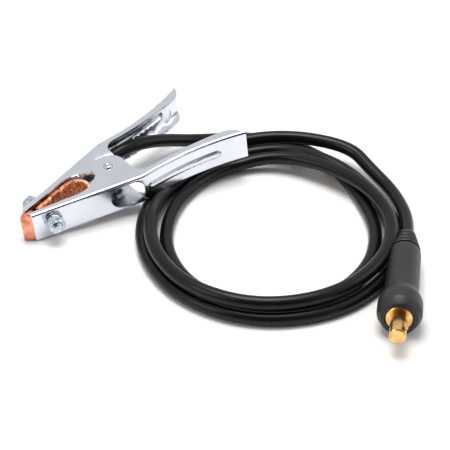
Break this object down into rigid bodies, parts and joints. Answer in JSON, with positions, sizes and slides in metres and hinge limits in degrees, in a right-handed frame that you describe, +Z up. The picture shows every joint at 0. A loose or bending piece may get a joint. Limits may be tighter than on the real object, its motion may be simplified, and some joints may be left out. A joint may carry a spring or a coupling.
{
  "type": "welding ground clamp",
  "caption": "Sprung steel ground clamp with copper jaws and a braid between them, its coiled welding cable and a bayonet cable plug.",
  "frame": {"origin": "centre of the clamp's footprint on the surface it stands on, under its lowest point; the cable and plug aren't counted", "axes": "+X along the clamp from jaws to handles, +Y towards the arm whose handle stays still, +Z up"},
  "size_m": [0.2762, 0.3487, 0.0483],
  "materials": {
    "zinc_steel": "bright zinc plate, lightly satin",
    "zinc_hardware": "blue zinc plate",
    "spring_steel": "zinc-plated spring wire",
    "copper_strip": "bare pressed copper strip",
    "copper_braid": "bare woven copper wire",
    "copper_wire": "bare stranded copper",
    "tinned_copper": "tinned copper, crimped",
    "cable_rubber": "smooth extruded rubber, satin",
    "plug_rubber": "moulded rubber, matte",
    "brass": "turned brass"
  },
  "bodies": {
    "far_jaw_body": {"far_arm": "zinc_steel", "far_jaw_pad": "copper_strip", "far_jaw_bolt": "zinc_hardware", "far_flat_washer": "zinc_hardware", "far_spring_washer": "zinc_hardware", "far_jaw_nut": "zinc_hardware", "far_braid_ferrule": "copper_strip", "pivot_rivet": "zinc_hardware", "pivot_sleeve": "zinc_hardware", "torsion_spring": "spring_steel", "copper_braid": "copper_braid", "cable_lug": "tinned_copper", "cable_core": "copper_wire", "cable_lead": "cable_rubber", "cable_coil": "cable_rubber", "cable_tail": "cable_rubber", "cable_end": "cable_rubber", "plug_sleeve": "plug_rubber", "plug_pin": "brass", "plug_core": "copper_wire", "plug_grub_screw": "spring_steel"},
    "near_jaw_body": {"near_arm": "zinc_steel", "near_jaw_pad": "copper_strip", "near_jaw_bolt": "zinc_hardware", "near_flat_washer": "zinc_hardware", "near_spring_washer": "zinc_hardware", "near_jaw_nut": "zinc_hardware", "near_braid_ferrule": "copper_strip"}
  },
  "joints": [
    {"name": "jaw_pivot", "type": "hinge", "parent": "far_jaw_body", "child": "near_jaw_body", "pos_m": [-0.00976, 0, 0.0227], "axis": [-0.1132, 0, 0.9936], "range_deg": [0, 25], "stiffness_Nm_per_rad": 1.5, "springref_deg": -20.05, "deforming": ["torsion_spring", "copper_braid"]}
  ]
}
